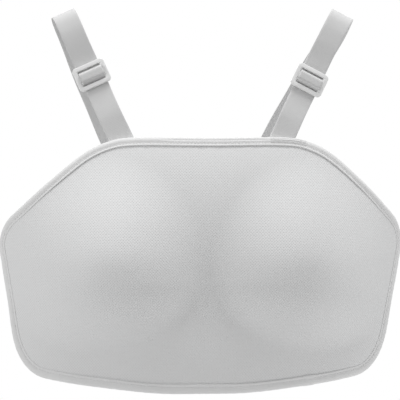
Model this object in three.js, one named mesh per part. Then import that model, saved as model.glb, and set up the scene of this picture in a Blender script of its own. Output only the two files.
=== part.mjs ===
// A fencing plastron: a padded chest guard with two moulded cups, a bound edge,
// two webbing shoulder straps with sliders, and a plain band round the back.
// Millimetres. +Z is up, the guard faces -Y, and +X is the right of a person looking at it.
// The origin is on the inner face of the guard, at the middle of the breastbone.
import * as THREE from 'three';

// The guard, seen from the front, without its binding
const HALF_WIDTH = 203.6;
const TOP_HEIGHT = 125;
const BOTTOM_DROP = 121;
const SWAY = 0.034;

// How it curves round the chest
const WRAP_DEPTH = 92.3;
const WRAP_FULLNESS = 0.95;
const TOP_LEAN = 34;
const BOTTOM_CURL = 3.6;
const CURL_LEVEL = -77;

// The cups
const CUP_HEIGHT = 30;
const CUP_SPACING = 195;
const CUP_LEVEL = -12.4;
const CUP_HALF_WIDTH = 98.8;
const CUP_ROUNDNESS = 1.88;
const CUP_ROUNDNESS_BELOW = 2.52;
const CUP_BLEND = 50;
const CUP_RISE = 122.8;
const CUP_FALL = 73.6;
const CUP_SPREAD = 0.33;
const CUP_SPREAD_EASE = 15;

// The padding, and the tape that binds its edge
const WALL = 7;
const EDGE_WALL = 3;
const TAPE_WIDTH = 7;
const TAPE_WALL = 1.2;
const TAPE_MARGIN = 2;
const GAP = 0.3;

// The straps and their sliders
const WEBBING_WIDTH = 24.4;
const WEBBING_WALL = 1.5;
const SHOULDER_RISE = 125;
const STRAP_OVERLAP = 8.5;
const STRAP_EASE = 0.5;
const SLIDER_LENGTH = 25.5;
const SLIDER_BAR = 4.4;
const SLIDER_SIDE = 4.4;
const SLIDER_MIDDLE_BAR = 6;
const SLIDER_WALL = 2.6;
const SLIDER_CORNER = 4;
const WINDOW_CORNER = 1;
const WINDOW_CLEARANCE = 0.4;
const WEAVE_RISE = 0.85;
const WEAVE_DROP = 0.1;
const WEAVE_FADE = 36;
const BAR_CLEARANCE = 1;
const WEAVE_FULLNESS = 4;

// The band behind
const BACK_DEPTH = 195;
const BAND_WIDTH = 50;
const BAND_WALL = 2;
const BAND_LEVEL = -20;
const BAND_OVERLAP = 8;

// Right half of the outline, from its widest point up to the top middle:
// across is a share of HALF_WIDTH, up a share of TOP_HEIGHT.
const UPPER_OUTLINE = [
  { across: 1.0, up: 0.17 },
  { across: 0.973, up: 0.32 },
  { across: 0.889, up: 0.469 },
  { across: 0.763, up: 0.664 },
  { across: 0.586, up: 0.898 },
  { across: 0.47, up: 0.98 },
  { across: 0.39, up: 1.0 },
  { across: 0.0, up: 1.0 },
];
// The same from just under the widest point down to the bottom middle: down is a share of BOTTOM_DROP.
const LOWER_OUTLINE = [
  { across: 0.985, down: 0.0 },
  { across: 0.95, down: 0.3 },
  { across: 0.91, down: 0.643 },
  { across: 0.866, down: 0.79 },
  { across: 0.803, down: 0.88 },
  { across: 0.7, down: 0.917 },
  { across: 0.46, down: 0.962 },
  { across: 0.21, down: 0.998 },
  { across: 0.0, down: 1.0 },
];

// Each strap: foot, crest and tail are places across the guard, as shares of HALF_WIDTH. slip is how
// far the run behind lies to the right of the run in front, and drift how much further it is by the
// guard's top. slider is a share of SHOULDER_RISE.
const STRAPS = [
  { name: 'left', foot: -0.4135, crest: -0.685, slip: -0.01, drift: -0.015, tail: -0.25, slider: 0.494 },
  { name: 'right', foot: 0.384, crest: 0.704, slip: 0.045, drift: -0.014, tail: 0.21, slider: 0.457 },
];
// Side view of a strap from the guard's top edge over the shoulder: back is a share of the way from
// its foot to BACK_DEPTH, up a share of SHOULDER_RISE.
const OVER_SHOULDER = [
  { back: 0.049, up: 0.175 },
  { back: 0.115, up: 0.413 },
  { back: 0.163, up: 0.611 },
  { back: 0.193, up: 0.77 },
  { back: 0.223, up: 0.889 },
  { back: 0.27, up: 0.968 },
  { back: 0.36, up: 1.0 },
  { back: 0.468, up: 0.968 },
  { back: 0.575, up: 0.881 },
  { back: 0.659, up: 0.746 },
  { back: 0.725, up: 0.556 },
  { back: 0.779, up: 0.317 },
  { back: 0.8385, up: 0.0 },
];
const CREST_ROW = 6;
// From there down to the band: back is now a share of the way to the band's outer side, down a share
// of the drop to its upper edge.
const DOWN_THE_BACK = [
  { back: 0.925, down: 0.43 },
  { back: 0.99, down: 0.8 },
];
// The band from the guard's side edge to the middle of the back: across is a share of the edge's
// distance from the middle, back a share of the way to BACK_DEPTH.
const ROUND_THE_BACK = [
  { across: 0.975, back: 0.12 },
  { across: 0.955, back: 0.27 },
  { across: 0.9, back: 0.45 },
  { across: 0.8, back: 0.67 },
  { across: 0.66, back: 0.86 },
  { across: 0.52, back: 0.97 },
  { across: 0.42, back: 0.998 },
  { across: 0.33, back: 1.0 },
  { across: 0.12, back: 1.0 },
];

// How finely the forms are cut
const STATIONS = 96;
const PANEL_RINGS = [0.93, 0.82, 0.69, 0.55, 0.41, 0.27, 0.13];
const PADDED_FROM = 0.8;
const SPINE_SHARE = 0.5;
const EDGE_ROUND_STEPS = 6;
const STRAP_STEP = 9;
const WEAVE_STEPS = 9;
const WEAVE_FADE_STEPS = 9;
const CURVE_DIVISIONS = 1200;
const SEARCH_STEP = 0.5;
const BAND_STEPS = 48;
const BAND_ROWS = 5;

const clothWhite = { color: 0xd9dadb, roughness: 0.9, metalness: 0 };
const tapeWhite = { color: 0xdcdddd, roughness: 0.85, metalness: 0 };
const webbingGrey = { color: 0xc9caca, roughness: 0.8, metalness: 0 };
const plasticWhite = { color: 0xe4e5e5, roughness: 0.35, metalness: 0 };
const elasticWhite = { color: 0xd2d3d3, roughness: 0.85, metalness: 0 };

function smoothStep(low, high, value) {
  const t = THREE.MathUtils.clamp((value - low) / (high - low), 0, 1);
  return t * t * (3 - 2 * t);
}

// A cup is rounder below its level, and its middle line moves outwards there.
function cup(across, height, side) {
  const reach = height > CUP_LEVEL ? CUP_RISE : CUP_FALL;
  const upper = smoothStep(CUP_LEVEL - CUP_BLEND, CUP_LEVEL + CUP_BLEND, height);
  const roundness = THREE.MathUtils.lerp(CUP_ROUNDNESS_BELOW, CUP_ROUNDNESS, upper);
  const drop = Math.max(CUP_LEVEL - height, 0);
  const spread = CUP_SPREAD * (Math.hypot(drop, CUP_SPREAD_EASE) - CUP_SPREAD_EASE);
  const centre = side * (CUP_SPACING / 2 + spread);
  const radius = Math.hypot((across - centre) / CUP_HALF_WIDTH, (height - CUP_LEVEL) / reach);
  return radius < 1 ? CUP_HEIGHT * (1 - radius ** roundness) ** 2 : 0;
}

function cups(across, height) {
  return cup(across, height, 1) + cup(across, height, -1);
}

// Depth of the outer face. Past the breastbone it follows an ellipse round the ribs.
function faceDepth(across, height) {
  const turn = 1 - Math.sqrt(1 - (WRAP_FULLNESS * across / HALF_WIDTH) ** 2);
  const fullTurn = 1 - Math.sqrt(1 - WRAP_FULLNESS ** 2);
  const lean = TOP_LEAN * Math.max(height / TOP_HEIGHT, 0) ** 2;
  const curl = BOTTOM_CURL * Math.max((CURL_LEVEL - height) / (CURL_LEVEL + BOTTOM_DROP), 0) ** 2;
  return WRAP_DEPTH * turn / fullTurn + lean + curl - cups(across, height) + cups(0, 0) - WALL;
}

function facePoint(across, height) {
  return new THREE.Vector3(across + SWAY * height, faceDepth(across, height), height);
}

function faceNormal(across, height) {
  const step = 0.01;
  const slopeAcross = (faceDepth(across + step, height) - faceDepth(across - step, height)) / (2 * step);
  const slopeUp = (faceDepth(across, height + step) - faceDepth(across, height - step)) / (2 * step);
  return new THREE.Vector3(slopeAcross, -1, slopeUp - slopeAcross * SWAY).normalize();
}

// A point inside the guard, a given distance behind its outer face
function behindFace(across, height, distance) {
  return facePoint(across, height).addScaledVector(faceNormal(across, height), -distance);
}

function outlineCurve() {
  const upper = UPPER_OUTLINE.map((row) => [row.across * HALF_WIDTH, row.up * TOP_HEIGHT]);
  const lower = LOWER_OUTLINE.map((row) => [row.across * HALF_WIDTH, -row.down * BOTTOM_DROP]);
  const mirror = ([across, height]) => [-across, height];
  const loop = [
    ...upper,
    ...upper.slice(0, -1).reverse().map(mirror),
    ...lower.map(mirror),
    ...lower.slice(0, -1).reverse(),
  ];
  const points = loop.map(([across, height]) => new THREE.Vector3(across, 0, height));
  return new THREE.CatmullRomCurve3(points, true, 'centripetal');
}

const outline = outlineCurve();
const UPPER_SPANS = 2 * (UPPER_OUTLINE.length - 1);
const LOWER_SPANS = 2 * LOWER_OUTLINE.length;
const ALL_SPANS = UPPER_SPANS + LOWER_SPANS;

// Place on the outline at a share of the way round. The first half is the upper edge.
function outlineShare(share) {
  const half = share * 2;
  const span = half < 1 ? half * UPPER_SPANS : UPPER_SPANS + (half - 1) * LOWER_SPANS;
  return (span / ALL_SPANS) % 1;
}

// A place on the edge: where it is, the same a tape's width and a little further in, and the
// directions out of the edge and out of the face there.
function edgeStation(share) {
  const along = outlineShare(share);
  const plan = outline.getPoint(along);
  const run = outline.getTangent(along);
  const step = 0.01;
  const tangent = facePoint(plan.x + run.x * step, plan.z + run.z * step)
    .sub(facePoint(plan.x, plan.z)).normalize();
  const normal = faceNormal(plan.x, plan.z);
  const outward = new THREE.Vector3().crossVectors(tangent, normal).negate().normalize();
  if (outward.x * plan.x + outward.z * plan.z < 0) outward.negate();
  const inset = TAPE_WIDTH + TAPE_MARGIN;
  const insetHeight = plan.z - outward.z * inset;
  const insetAcross = plan.x - outward.x * inset + SWAY * outward.z * inset;
  const edge = facePoint(plan.x, plan.z);
  const inner = facePoint(insetAcross, insetHeight);
  const out = edge.clone().sub(inner).normalize();
  const face = normal.clone().addScaledVector(out, -normal.dot(out)).normalize();
  return { edge, inner, out, face, insetAcross, insetHeight };
}

const stations = Array.from({ length: STATIONS }, (_, index) => edgeStation(index / STATIONS));

function solid(points, faces) {
  const geometry = new THREE.BufferGeometry();
  geometry.setAttribute('position', new THREE.Float32BufferAttribute(points.flatMap((p) => [p.x, p.y, p.z]), 3));
  const volume = faces.reduce((sum, [a, b, c]) => {
    const across = new THREE.Vector3().crossVectors(points[b], points[c]);
    return sum + points[a].dot(across);
  }, 0);
  const outward = volume > 0 ? faces : faces.map(([a, b, c]) => [a, c, b]);
  geometry.setIndex(outward.flat());
  geometry.computeVertexNormals();
  return geometry;
}

// A solid through equal closed sections, either joined into a ring or closed with a flat end each side
function throughSections(sections, isRing) {
  const size = sections[0].length;
  const faces = [];
  const spans = isRing ? sections.length : sections.length - 1;
  for (let row = 0; row < spans; row++) {
    const here = row * size;
    const next = ((row + 1) % sections.length) * size;
    for (let k = 0; k < size; k++) {
      const after = (k + 1) % size;
      faces.push([here + k, here + after, next + after], [here + k, next + after, next + k]);
    }
  }
  if (!isRing) {
    const last = (sections.length - 1) * size;
    for (let k = 1; k < size - 1; k++) faces.push([0, k + 1, k], [last, last + k, last + k + 1]);
  }
  return solid(sections.flat(), faces);
}

// One face of the guard as rings that close on a short line across its middle
function panelFace(depthAtEdge, depthAt) {
  const points = [];
  for (const station of stations) points.push(station.edge.clone().addScaledVector(station.face, -depthAtEdge));
  for (const station of stations) points.push(station.inner.clone().addScaledVector(station.face, -depthAtEdge));
  const spine = (index) => SPINE_SHARE * HALF_WIDTH * Math.cos(2 * Math.PI * index / STATIONS);
  for (const share of PANEL_RINGS) {
    stations.forEach((station, index) => {
      const across = THREE.MathUtils.lerp(spine(index), station.insetAcross, share);
      const height = THREE.MathUtils.lerp(0, station.insetHeight, share);
      points.push(behindFace(across, height, depthAt(share)));
    });
  }
  for (let index = 0; index <= STATIONS / 2; index++) points.push(behindFace(spine(index), 0, depthAt(0)));
  return points;
}

function panelGeometry() {
  const padding = (share) => EDGE_WALL + (WALL - EDGE_WALL) * (1 - smoothStep(PADDED_FROM, 1, share));
  const front = panelFace(0, () => 0);
  const back = panelFace(EDGE_WALL, padding);
  const rings = PANEL_RINGS.length + 2;
  const place = (ring, index) => {
    const around = index % STATIONS;
    if (ring < rings) return ring * STATIONS + around;
    return rings * STATIONS + Math.min(around, STATIONS - around);
  };
  const faces = [];
  const addQuad = (a, b, c, d) => {
    if (a !== b && b !== c && a !== c) faces.push([a, b, c]);
    if (a !== c && c !== d && a !== d) faces.push([a, c, d]);
  };
  for (let ring = 0; ring < rings; ring++) {
    for (let index = 0; index < STATIONS; index++) {
      const corners = [place(ring, index), place(ring, index + 1), place(ring + 1, index + 1), place(ring + 1, index)];
      addQuad(...corners);
      const behind = corners.map((corner) => corner + front.length);
      addQuad(behind[3], behind[2], behind[1], behind[0]);
      if (ring === 0) addQuad(corners[1], corners[0], behind[0], behind[1]);
    }
  }
  return solid([...front, ...back], faces);
}

// The tape: a U round the edge with a full round outside
function bindingGeometry() {
  const outside = GAP + TAPE_WALL;
  const middle = -EDGE_WALL / 2;
  const radius = EDGE_WALL / 2 + outside;
  const section = [[-TAPE_WIDTH, outside]];
  for (let step = 0; step <= EDGE_ROUND_STEPS; step++) {
    const angle = Math.PI * (0.5 - step / EDGE_ROUND_STEPS);
    section.push([radius * Math.cos(angle), middle + radius * Math.sin(angle)]);
  }
  section.push(
    [-TAPE_WIDTH, -EDGE_WALL - outside],
    [-TAPE_WIDTH, -EDGE_WALL - GAP],
    [GAP, -EDGE_WALL - GAP],
    [GAP, GAP],
    [-TAPE_WIDTH, GAP],
  );
  const sections = stations.map(({ edge, out, face }) => section.map(([outer, raised]) =>
    edge.clone().addScaledVector(out, outer).addScaledVector(face, raised)));
  return throughSections(sections, true);
}

// The guard's side edge at a given height: its distance from the middle
function sideEdge(height) {
  let high = 0;
  let low = -(LOWER_OUTLINE.length / 2) / ALL_SPANS;
  for (let pass = 0; pass < 40; pass++) {
    const middle = (high + low) / 2;
    if (outline.getPoint((middle + 1) % 1).z > height) high = middle;
    else low = middle;
  }
  return outline.getPoint((high + 1) % 1).x;
}

const BEHIND_TAPE = EDGE_WALL + 2 * GAP + TAPE_WALL;

// The band's middle line at a given height, from the right side edge round the back to the left one
function bandCurve(height) {
  const edge = sideEdge(height);
  const depth = BEHIND_TAPE + BAND_WALL / 2;
  const slope = faceNormal(edge, height);
  const overlap = BAND_OVERLAP * Math.abs(slope.y);
  const sewn = [behindFace(edge - overlap, height, depth), behindFace(edge - overlap / 2, height, depth),
    behindFace(edge, height, depth)];
  const start = faceDepth(edge, height);
  const free = ROUND_THE_BACK.map((row) =>
    new THREE.Vector3(row.across * edge + SWAY * height, start + row.back * (BACK_DEPTH - start), height));
  const half = [...sewn, ...free];
  const middle = SWAY * height;
  const mirrored = half.map((point) => new THREE.Vector3(2 * middle - point.x, point.y, height)).reverse();
  return new THREE.CatmullRomCurve3([...half, ...mirrored], false, 'centripetal');
}

function bandGeometry() {
  const rows = Array.from({ length: BAND_ROWS }, (_, row) =>
    bandCurve(BAND_LEVEL + BAND_WIDTH * (row / (BAND_ROWS - 1) - 0.5)));
  const up = new THREE.Vector3(0, 0, 1);
  const sections = [];
  for (let step = 0; step <= BAND_STEPS; step++) {
    const share = step / BAND_STEPS;
    const wall = (side) => rows.map((row) => {
      const outward = new THREE.Vector3().crossVectors(up, row.getTangentAt(share)).normalize();
      return row.getPointAt(share).addScaledVector(outward, side * BAND_WALL / 2);
    });
    sections.push([...wall(1), ...wall(-1).reverse()]);
  }
  return throughSections(sections, false);
}

// A strap's middle line, from its foot behind the guard's top edge to its tail on the band
function strapCurve(strap) {
  const foot = strap.foot * HALF_WIDTH;
  const crest = strap.crest * HALF_WIDTH;
  const slip = strap.slip * HALF_WIDTH;
  const drift = strap.drift * HALF_WIDTH;
  const tail = strap.tail * HALF_WIDTH;
  const depth = BEHIND_TAPE + STRAP_EASE + WEBBING_WALL / 2;
  const top = TOP_HEIGHT + EDGE_WALL;
  const lateral = (height) => foot + (crest - foot) * (height - top) / SHOULDER_RISE;
  const sewn = [top - EDGE_WALL - STRAP_OVERLAP, top - EDGE_WALL - STRAP_OVERLAP / 2, top].map((height) =>
    behindFace(lateral(height) - SWAY * height, height, depth));
  const start = sewn[2].y;
  const over = OVER_SHOULDER.map((row, index) => {
    const height = top + row.up * SHOULDER_RISE;
    const moved = slip * smoothStep(CREST_ROW - 2, CREST_ROW + 3, index)
      + drift * smoothStep(CREST_ROW + 2, OVER_SHOULDER.length - 1, index);
    return new THREE.Vector3(lateral(height) + moved, start + row.back * (BACK_DEPTH - start), height);
  });
  const bandTop = BAND_LEVEL + BAND_WIDTH / 2;
  const onBand = BACK_DEPTH + BAND_WALL / 2 + GAP + WEBBING_WALL / 2;
  const behind = DOWN_THE_BACK.map((row) => {
    const straight = lateral(THREE.MathUtils.lerp(top, bandTop, row.down * 0.5)) + slip + drift;
    return new THREE.Vector3(
      THREE.MathUtils.lerp(straight, tail, row.down),
      start + row.back * (onBand - start),
      THREE.MathUtils.lerp(top, bandTop, row.down),
    );
  });
  const sewnBehind = [BAND_WIDTH / 8, -BAND_WIDTH / 6, -BAND_WIDTH / 2].map((offset) =>
    new THREE.Vector3(tail, onBand, bandTop + offset));
  const curve = new THREE.CatmullRomCurve3([...sewn, ...over, ...behind, ...sewnBehind], false, 'centripetal');
  curve.arcLengthDivisions = CURVE_DIVISIONS;
  return curve;
}

// How far the webbing stands off its middle line as it weaves through the slider
function weave(along) {
  const touching = SLIDER_WALL / 2 + GAP + WEBBING_WALL / 2;
  const over = touching + WEAVE_RISE;
  const under = touching + WEAVE_DROP;
  const distance = Math.abs(along);
  const window = SLIDER_LENGTH / 2 - SLIDER_BAR;
  const turnEnd = window - BAR_CLEARANCE;
  if (distance < turnEnd) return over - (over + under) * smoothStep(0, turnEnd, distance) ** WEAVE_FULLNESS;
  return -under * (1 - smoothStep(SLIDER_LENGTH / 2 + 1, SLIDER_LENGTH / 2 + WEAVE_FADE, distance));
}

function sliderPlace(curve, strap) {
  const height = TOP_HEIGHT + EDGE_WALL + strap.slider * SHOULDER_RISE;
  const length = curve.getLength();
  let distance = 0;
  while (distance < length / 2 && curve.getPointAt(distance / length).z < height) distance += SEARCH_STEP;
  return distance;
}

// Directions of the webbing at a distance along it: along it, across it and out of its outer face
function strapFrame(curve, strap, distance) {
  const share = THREE.MathUtils.clamp(distance / curve.getLength(), 0, 1);
  const centre = curve.getPointAt(share);
  const along = curve.getTangentAt(share);
  const lean = Math.atan2((strap.crest - strap.foot) * HALF_WIDTH, SHOULDER_RISE);
  const top = TOP_HEIGHT + EDGE_WALL;
  const foot = faceNormal(strap.foot * HALF_WIDTH, TOP_HEIGHT);
  const followFace = -(foot.x * Math.cos(lean) - foot.z * Math.sin(lean)) / foot.y;
  const isFront = centre.y < BACK_DEPTH / 2;
  const straightFrom = top + SHOULDER_RISE * strap.slider - SLIDER_LENGTH / 2;
  const settled = isFront ? 1 - smoothStep(top, straightFrom, centre.z) : 0;
  const width = new THREE.Vector3(Math.cos(lean), followFace * settled, -Math.sin(lean));
  width.addScaledVector(along, -width.dot(along)).normalize();
  const out = new THREE.Vector3().crossVectors(width, along).normalize();
  return { centre, along, width, out };
}

function strapGeometry(strap) {
  const curve = strapCurve(strap);
  const length = curve.getLength();
  const slider = sliderPlace(curve, strap);
  const near = SLIDER_LENGTH / 2 + WEAVE_FADE;
  const window = SLIDER_LENGTH / 2 - SLIDER_BAR;
  const distances = [];
  for (let step = -WEAVE_STEPS; step <= WEAVE_STEPS; step++) distances.push(slider + window * step / WEAVE_STEPS);
  for (let step = 1; step <= WEAVE_FADE_STEPS; step++) {
    const distance = THREE.MathUtils.lerp(window, near, step / WEAVE_FADE_STEPS);
    distances.push(slider - distance, slider + distance);
  }
  const before = Math.round((slider - near) / STRAP_STEP);
  const after = Math.round((length - slider - near) / STRAP_STEP);
  for (let step = 0; step < before; step++) distances.push((slider - near) * step / before);
  for (let step = 1; step <= after; step++) distances.push(THREE.MathUtils.lerp(slider + near, length, step / after));
  distances.sort((a, b) => a - b);
  const middle = distances.map((distance) => {
    const frame = strapFrame(curve, strap, distance);
    return { width: frame.width, point: frame.centre.addScaledVector(frame.out, weave(distance - slider)) };
  });
  const sections = middle.map(({ width, point }, index) => {
    const previous = middle[Math.max(index - 1, 0)].point;
    const next = middle[Math.min(index + 1, middle.length - 1)].point;
    const along = next.clone().sub(previous).normalize();
    const out = new THREE.Vector3().crossVectors(width, along).normalize();
    const corner = (side, face) => point.clone()
      .addScaledVector(width, side * WEBBING_WIDTH / 2).addScaledVector(out, face * WEBBING_WALL / 2);
    return [corner(-1, 1), corner(1, 1), corner(1, -1), corner(-1, -1)];
  });
  return throughSections(sections, false);
}

function roundedRectangle(shape, low, high, radius) {
  shape.moveTo(low.x + radius, low.y);
  shape.lineTo(high.x - radius, low.y);
  shape.absarc(high.x - radius, low.y + radius, radius, -Math.PI / 2, 0, false);
  shape.lineTo(high.x, high.y - radius);
  shape.absarc(high.x - radius, high.y - radius, radius, 0, Math.PI / 2, false);
  shape.lineTo(low.x + radius, high.y);
  shape.absarc(low.x + radius, high.y - radius, radius, Math.PI / 2, Math.PI, false);
  shape.lineTo(low.x, low.y + radius);
  shape.absarc(low.x + radius, low.y + radius, radius, Math.PI, 1.5 * Math.PI, false);
  return shape;
}

// A flat frame with a bar across its middle, so two windows
function sliderGeometry() {
  const halfWindow = WEBBING_WIDTH / 2 + WINDOW_CLEARANCE;
  const halfWidth = halfWindow + SLIDER_SIDE;
  const halfLength = SLIDER_LENGTH / 2;
  const frame = roundedRectangle(new THREE.Shape(), new THREE.Vector2(-halfWidth, -halfLength),
    new THREE.Vector2(halfWidth, halfLength), SLIDER_CORNER);
  for (const side of [-1, 1]) {
    const near = SLIDER_MIDDLE_BAR / 2;
    const far = halfLength - SLIDER_BAR;
    const low = new THREE.Vector2(-halfWindow, side > 0 ? near : -far);
    const high = new THREE.Vector2(halfWindow, side > 0 ? far : -near);
    frame.holes.push(roundedRectangle(new THREE.Path(), low, high, WINDOW_CORNER));
  }
  const geometry = new THREE.ExtrudeGeometry(frame, { depth: SLIDER_WALL, bevelEnabled: false, curveSegments: 5 });
  geometry.translate(0, 0, -SLIDER_WALL / 2);
  return geometry;
}

function piece(name, geometry, finish) {
  const mesh = new THREE.Mesh(geometry, new THREE.MeshStandardMaterial(finish));
  mesh.name = name;
  return mesh;
}

function slider(strap) {
  const curve = strapCurve(strap);
  const frame = strapFrame(curve, strap, sliderPlace(curve, strap));
  const mesh = piece(`slider_${strap.name}`, sliderGeometry(), plasticWhite);
  mesh.position.copy(frame.centre);
  mesh.quaternion.setFromRotationMatrix(new THREE.Matrix4().makeBasis(frame.width, frame.along, frame.out));
  return mesh;
}

const plastron = new THREE.Group();
plastron.add(piece('chest_panel', panelGeometry(), clothWhite));
plastron.add(piece('edge_binding', bindingGeometry(), tapeWhite));
for (const strap of STRAPS) {
  plastron.add(piece(`shoulder_strap_${strap.name}`, strapGeometry(strap), webbingGrey));
  plastron.add(slider(strap));
}
plastron.add(piece('back_band', bandGeometry(), elasticWhite));

export default plastron;
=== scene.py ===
import math

import bmesh
import bpy
import numpy as np
from mathutils import Matrix, Vector


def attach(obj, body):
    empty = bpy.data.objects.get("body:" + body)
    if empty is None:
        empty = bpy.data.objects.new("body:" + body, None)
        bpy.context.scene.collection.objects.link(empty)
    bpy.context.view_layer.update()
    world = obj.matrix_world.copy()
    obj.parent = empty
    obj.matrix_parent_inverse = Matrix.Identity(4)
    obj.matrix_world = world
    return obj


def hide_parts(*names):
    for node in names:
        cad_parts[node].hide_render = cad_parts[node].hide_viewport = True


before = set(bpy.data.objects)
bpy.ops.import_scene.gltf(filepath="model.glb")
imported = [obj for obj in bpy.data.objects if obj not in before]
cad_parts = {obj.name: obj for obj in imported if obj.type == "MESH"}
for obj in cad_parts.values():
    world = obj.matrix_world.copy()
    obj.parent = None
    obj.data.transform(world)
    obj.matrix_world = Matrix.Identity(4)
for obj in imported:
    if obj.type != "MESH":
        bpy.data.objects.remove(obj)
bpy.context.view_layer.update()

# A fencing plastron: a padded chest guard of mesh cloth with two moulded cups, a bound edge,
# webbing shoulder straps with moulded sliders, and a ribbed elastic band round the back.
# Metres. +Z is up, the guard faces -Y, and +X is the right of a person looking at it.

MM = 0.001


def table(columns, *rows):
    """Rows of values under named columns."""
    return [dict(zip(columns, row)) for row in rows]


# The guard, seen from the front, without its binding
HALF_WIDTH = 203.6 * MM
TOP_HEIGHT = 125 * MM
BOTTOM_DROP = 121 * MM
SWAY = 0.034

# How it curves round the chest
WRAP_DEPTH = 92.3 * MM
WRAP_FULLNESS = 0.95
TOP_LEAN = 34 * MM
BOTTOM_CURL = 3.6 * MM
CURL_LEVEL = -77 * MM

# The cups
CUP_HEIGHT = 30 * MM
CUP_SPACING = 195 * MM
CUP_LEVEL = -12.4 * MM
CUP_HALF_WIDTH = 98.8 * MM
CUP_ROUNDNESS = 1.88
CUP_ROUNDNESS_BELOW = 2.52
CUP_BLEND = 50 * MM
CUP_RISE = 122.8 * MM
CUP_FALL = 73.6 * MM
CUP_SPREAD = 0.33
CUP_SPREAD_EASE = 15 * MM

# The padding, and the tape that binds its edge
WALL = 7 * MM
EDGE_WALL = 3 * MM
TAPE_WIDTH = 7 * MM
TAPE_WALL = 1.2 * MM
TAPE_MARGIN = 2 * MM
BORDER = TAPE_WIDTH + TAPE_MARGIN
GAP = 0.3 * MM
TAPE_RADIUS = EDGE_WALL / 2 + GAP + TAPE_WALL
BEHIND_TAPE = EDGE_WALL + 2 * GAP + TAPE_WALL
PADDED_FROM = 0.8
SPINE_SHARE = 0.5

# The straps
WEBBING_WIDTH = 24.4 * MM
WEBBING_WALL = 1.5 * MM
SHOULDER_RISE = 125 * MM
STRAP_OVERLAP = 8.5 * MM
STRAP_EASE = 0.5 * MM
REAR_LEAN = 0.5
WANDER = dict(aside=0.25 * MM, every=71 * MM)
# The webbing's section: a bead near each edge, and a face that is lower than the wall and hollow
SELVEDGE = dict(height=0.13 * MM, inset=0.8 * MM, reach=0.7 * MM)
FACE_LOWER = 0.1 * MM
FACE_HOLLOW = 0.06 * MM
FACE_POINTS = 15
ROUND_EDGE = np.radians([55, 20, -20, -55])

# The sliders, and the webbing's way through them
SLIDER_LENGTH = 25.5 * MM
SLIDER_BAR = 4.4 * MM
SLIDER_SIDE = 4.4 * MM
SLIDER_MIDDLE_BAR = 6 * MM
SLIDER_WALL = 2.6 * MM
SLIDER_CORNER = 4 * MM
SLIDER_BEVEL = 0.9 * MM
SLIDER_SHARP_FROM = math.radians(40)
WINDOW_CORNER = 1 * MM
WINDOW_CLEARANCE = 0.4 * MM
WEAVE_RISE = 0.85 * MM
WEAVE_DROP = 0.1 * MM
WEAVE_STRAIGHT = 1 * MM
WEAVE_FADE = 36 * MM
WEAVE_FULLNESS = 4
BAR_CLEARANCE = 1 * MM
FINE_RUN = 4 * MM

# The band behind. The straps' tails lie at places on it, as shares of its width above its upper edge.
BACK_DEPTH = 195 * MM
BAND_WIDTH = 50 * MM
BAND_WALL = 2 * MM
BAND_LEVEL = -20 * MM
BAND_OVERLAP = 8 * MM
BAND_ROUNDING = 1 * MM
BAND_EDGE_LOSS = 0.6
RIB_PITCH = 3.1 * MM
RIB_HEIGHT = 0.22 * MM
TAIL_PLACES = [1 / 8, -1 / 6, -1 / 2]

# Sewing
STITCH_PITCH = 3.4 * MM
STITCH_LENGTH = 2.7 * MM
THREAD_THICKNESS = 0.55 * MM
THREAD_PROUD = 0.12 * MM
STITCH_INSET = 4.2 * MM
FRONT_GROOVE = 0.8 * MM
BACK_GROOVE = 0.75 * MM
TACK_PITCH = 2.3 * MM
TACK_SHARE = 0.86
TACK_POINTS = 12
FOOT_TACKS = [1.8 * MM, 4.2 * MM, 6.6 * MM]
TAIL_TACKS = [3 * MM, 5.4 * MM, 24 * MM, 26.4 * MM]
FRONT_TACKS = [-0.9 * MM, 0.9 * MM, 2.7 * MM]
FRONT_TACK_REACH = 18 * MM
FRONT_TACK_PROUD = 0.25 * MM

# How finely the forms are cut
SHELL_STATIONS = 640
SHELL_RINGS = 46
RING_CROWDING = 1.35
TAPE_STATIONS = 1280
TAPE_ROUND_STEPS = 12
STRAP_STEP = 1.4 * MM
FINE_STEPS = 70
CORNER_STEPS = 10
WINDOW_STEPS = 6
BEVEL_STEPS = 4
BAND_STEPS = 300
BAND_ROWS = 33
PATH_SAMPLES = 6000
BAND_SAMPLES = 3000
EDGE_SAMPLES = 4001
WRAP_SAMPLES = 2001
SLOPE_STEP = 0.01 * MM
WELD = 0.01 * MM
DIRECTION_STEP = 0.4 * MM
SEARCH_STEP = 0.5 * MM

# Right half of the outline, from its widest point up to the top middle:
# across is a share of HALF_WIDTH, up a share of TOP_HEIGHT.
UPPER_OUTLINE = table(
    ("across", "up"),
    (1.0, 0.17),
    (0.973, 0.32),
    (0.889, 0.469),
    (0.763, 0.664),
    (0.586, 0.898),
    (0.47, 0.98),
    (0.39, 1.0),
    (0.0, 1.0),
)
# The same down to the bottom middle: down is a share of BOTTOM_DROP.
LOWER_OUTLINE = table(
    ("across", "down"),
    (0.985, 0.0),
    (0.95, 0.3),
    (0.91, 0.643),
    (0.866, 0.79),
    (0.803, 0.88),
    (0.7, 0.917),
    (0.46, 0.962),
    (0.21, 0.998),
    (0.0, 1.0),
)
UPPER_SPANS = 2 * (len(UPPER_OUTLINE) - 1)
LOWER_SPANS = 2 * len(LOWER_OUTLINE)
# Share of the way round, from the right side over the top, at which the bottom's middle lies
BOTTOM_MIDDLE = 0.75

# Foot, crest and tail are places across the guard, as shares of HALF_WIDTH. slip is how far the run
# behind lies to the right of the run in front, and drift how much further it is by the guard's top.
# slider is a share of SHOULDER_RISE.
STRAPS = [
    dict(name="left", foot=-0.4135, crest=-0.685, slip=-0.01, drift=-0.015, tail=-0.25, slider=0.494),
    dict(name="right", foot=0.384, crest=0.704, slip=0.045, drift=-0.014, tail=0.21, slider=0.457),
]
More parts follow.
